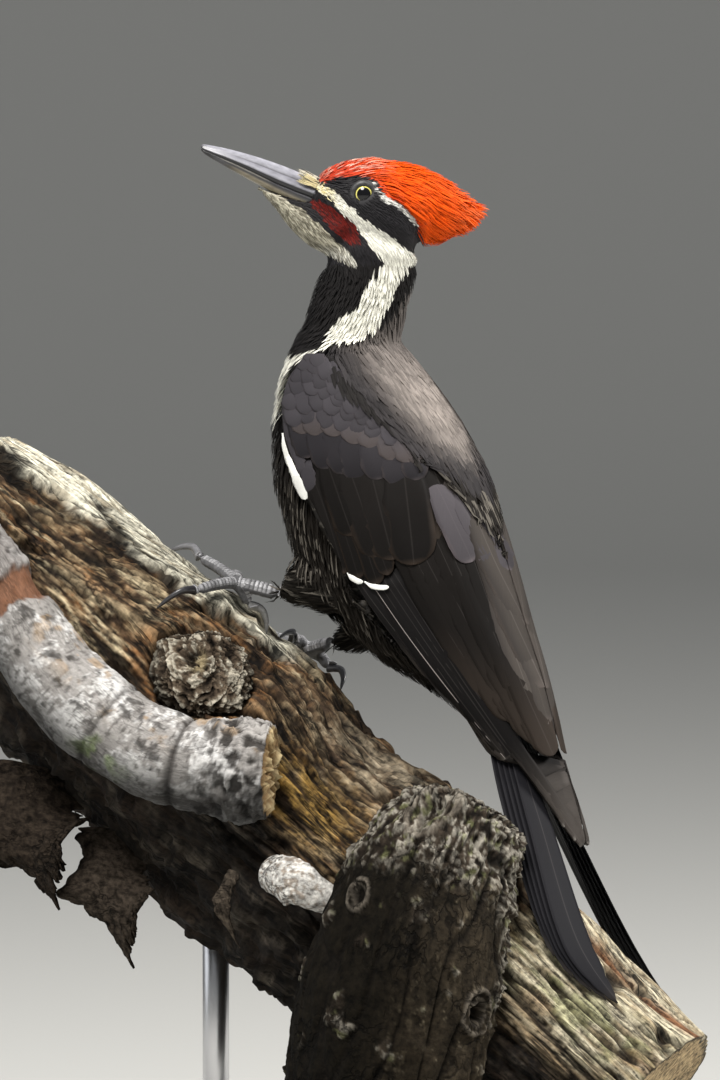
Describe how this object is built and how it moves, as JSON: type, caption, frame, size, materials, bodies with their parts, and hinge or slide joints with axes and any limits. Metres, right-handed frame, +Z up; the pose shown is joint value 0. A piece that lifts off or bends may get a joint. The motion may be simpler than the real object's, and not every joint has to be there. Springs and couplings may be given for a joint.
{
  "type": "pileated woodpecker",
  "caption": "Life-size still model of a male pileated woodpecker clinging upright to a cut length of weathered log, on a plain flat stand with two short rods.",
  "frame": {"origin": "middle of the underside of the stand's base", "axes": "+Z up; the bird's trunk faces -X, its left side is -Y, its head is turned 26 degrees to its left"},
  "size_m": [0.3335, 0.2204, 0.5254],
  "materials": {
    "body_feathers": "matte black-brown plumage with white stripes",
    "crest_feathers": "silky orange-red plumage",
    "wing_feathers": "smooth slate-black vanes with pale edges",
    "tail_feathers": "stiff glossy slate-black vanes",
    "bill_upper": "slate-grey horn with a soft sheen",
    "bill_lower": "pale horn, darker to the tip",
    "eyes": "wet, yellow iris round a black pupil",
    "leg_scales": "grey scaly skin",
    "claws": "dark grey horn",
    "weathered_wood": "split, weathered and half rotten",
    "birch_bark": "flaking grey-white bark",
    "stand_base": "satin black",
    "stand_rods": "brushed"
  },
  "bodies": {
    "root": {"bill_lower": "bill_lower", "bill_upper": "bill_upper", "claw_hind_left": "claws", "claw_hind_right": "claws", "claw_inner_left": "claws", "claw_inner_right": "claws", "claw_middle_left": "claws", "claw_middle_right": "claws", "claw_outer_left": "claws", "claw_outer_right": "claws", "crest": "crest_feathers", "eye_left": "eyes", "eye_right": "eyes", "head": "body_feathers", "leg_left": "leg_scales", "leg_right": "leg_scales", "neck": "body_feathers", "perch_knot": "birch_bark", "perch_limb": "birch_bark", "perch_log": "weathered_wood", "perch_stub": "birch_bark", "primaries_left": "wing_feathers", "primaries_right": "wing_feathers", "secondaries_left": "wing_feathers", "secondaries_right": "wing_feathers", "stand_base": "stand_base", "stand_rod_front": "stand_rods", "stand_rod_rear": "stand_rods", "tail_left_1": "tail_feathers", "tail_left_2": "tail_feathers", "tail_left_3": "tail_feathers", "tail_left_4": "tail_feathers", "tail_left_5": "tail_feathers", "tail_right_1": "tail_feathers", "tail_right_2": "tail_feathers", "tail_right_3": "tail_feathers", "tail_right_4": "tail_feathers", "tail_right_5": "tail_feathers", "thigh_left": "body_feathers", "thigh_right": "body_feathers", "trunk": "body_feathers", "wing_coverts_left": "wing_feathers", "wing_coverts_right": "wing_feathers"}
  },
  "joints": []
}
